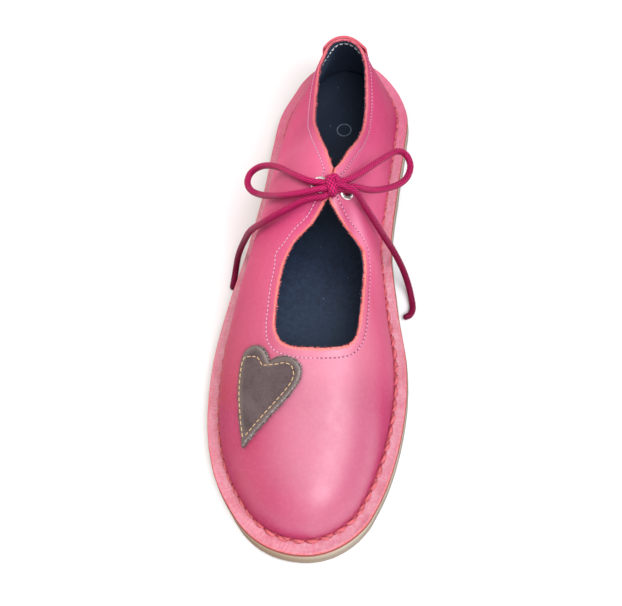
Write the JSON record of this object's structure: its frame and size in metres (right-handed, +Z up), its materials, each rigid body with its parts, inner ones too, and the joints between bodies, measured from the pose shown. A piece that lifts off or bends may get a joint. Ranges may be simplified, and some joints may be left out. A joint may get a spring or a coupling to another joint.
{
  "type": "lace-up flat pump shoe",
  "caption": "Low-cut flat stitch-down shoe for the right foot, open at collar and keyhole throat, tied with a round lace through eyelets in the meeting flaps, with a heart patch on the vamp.",
  "frame": {"origin": "on the floor under the middle of the shoe's box, measured without the free lace", "axes": "+Z up, toe towards -Y, heel towards +Y, big-toe side towards +X"},
  "size_m": [0.1072, 0.288, 0.0866],
  "materials": {
    "sole": "matt cream crepe",
    "lining": "matt dark suede",
    "upper_leather": "smooth with a soft gloss",
    "patch_nubuck": "nubuck nap",
    "eyelet": "bright",
    "lace": "round braid"
  },
  "bodies": {
    "root": {"outsole": "sole", "insole": "lining", "upper": "upper_leather", "heel_tab": "upper_leather", "heart_patch": "patch_nubuck", "eyelet_medial": "eyelet", "eyelet_lateral": "eyelet", "lace_bar": "lace", "lace_knot": "lace", "lace_loop_medial": "lace", "lace_loop_lateral": "lace", "lace_tail_medial": "lace", "lace_tail_lateral": "lace"}
  },
  "joints": []
}
